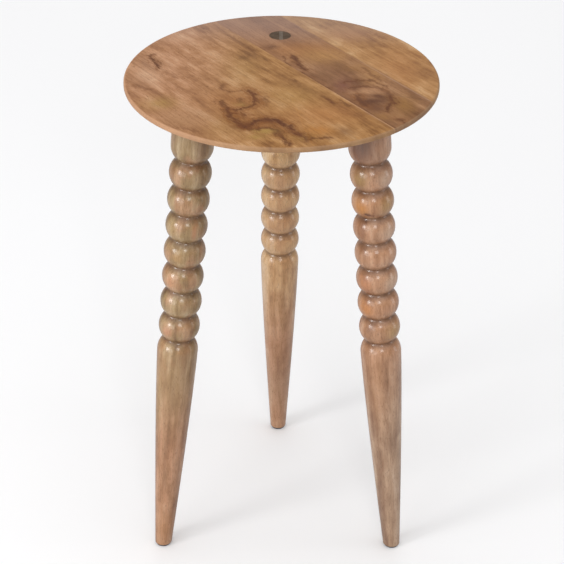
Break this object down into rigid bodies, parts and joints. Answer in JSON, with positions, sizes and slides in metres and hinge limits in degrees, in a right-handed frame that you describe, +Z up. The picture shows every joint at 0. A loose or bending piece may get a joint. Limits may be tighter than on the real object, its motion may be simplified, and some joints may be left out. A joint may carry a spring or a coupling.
{
  "type": "round side table",
  "caption": "Small round side table with a glued-up board top, bevelled underneath, on splayed bobbin-turned legs that screw into angled plates under the top.",
  "frame": {"origin": "on the floor, straight below the centre of the round top", "axes": "+Z up; +Y towards the leg that carries the top's round inset above it; +X to the right when facing +Y"},
  "size_m": [0.35, 0.35, 0.6],
  "materials": {
    "top_board_1": "clear satin, pinkish tan",
    "top_board_2": "clear satin, yellowish tan with a knot figure",
    "top_board_3": "clear satin, darker brown figure",
    "top_board_4": "clear satin, orange tan",
    "inset_disc": "dark antiqued",
    "inset_bar": "rubbed antiqued",
    "leg_wood": "clear satin, turned",
    "leg_plate_steel": "satin black",
    "plated_steel": "zinc plated",
    "felt": "dense felt"
  },
  "bodies": {
    "table": {"top_board_1": "top_board_1", "top_board_2": "top_board_2", "top_board_3": "top_board_3", "top_board_4": "top_board_4", "inset_disc": "inset_disc", "inset_bar": "inset_bar", "left_leg_plate": "leg_plate_steel", "right_leg_plate": "leg_plate_steel", "back_leg_plate": "leg_plate_steel", "left_plate_screws": "plated_steel", "right_plate_screws": "plated_steel", "back_plate_screws": "plated_steel"},
    "left_bolt": {"left_hanger_bolt": "plated_steel"},
    "left_leg_assembly": {"left_leg": "leg_wood", "left_foot_pad": "felt"},
    "right_bolt": {"right_hanger_bolt": "plated_steel"},
    "right_leg_assembly": {"right_leg": "leg_wood", "right_foot_pad": "felt"},
    "back_bolt": {"back_hanger_bolt": "plated_steel"},
    "back_leg_assembly": {"back_leg": "leg_wood", "back_foot_pad": "felt"}
  },
  "joints": [
    {"name": "left_leg_travel", "type": "slide", "parent": "table", "child": "left_bolt", "axis": [-0.083, -0.0479, -0.9954], "range_m": [0, 0.0125]},
    {"name": "left_leg_turn", "type": "hinge", "parent": "left_bolt", "child": "left_leg_assembly", "pos_m": [-0.09422, -0.0544, 0.582], "axis": [-0.083, -0.0479, -0.9954], "range_deg": [0, 3600]},
    {"name": "right_leg_travel", "type": "slide", "parent": "table", "child": "right_bolt", "axis": [0.083, -0.0479, -0.9954], "range_m": [0, 0.0125]},
    {"name": "right_leg_turn", "type": "hinge", "parent": "right_bolt", "child": "right_leg_assembly", "pos_m": [0.09422, -0.0544, 0.582], "axis": [0.083, -0.0479, -0.9954], "range_deg": [0, 3600]},
    {"name": "back_leg_travel", "type": "slide", "parent": "table", "child": "back_bolt", "axis": [0, 0.0958, -0.9954], "range_m": [0, 0.0125]},
    {"name": "back_leg_turn", "type": "hinge", "parent": "back_bolt", "child": "back_leg_assembly", "pos_m": [0, 0.1088, 0.582], "axis": [0, 0.0958, -0.9954], "range_deg": [0, 3600]}
  ],
  "couplings": [
    {"joint": "left_leg_travel", "follows": "left_leg_turn", "m_per_rad": 0.00019894},
    {"joint": "right_leg_travel", "follows": "right_leg_turn", "m_per_rad": 0.00019894},
    {"joint": "back_leg_travel", "follows": "back_leg_turn", "m_per_rad": 0.00019894}
  ]
}
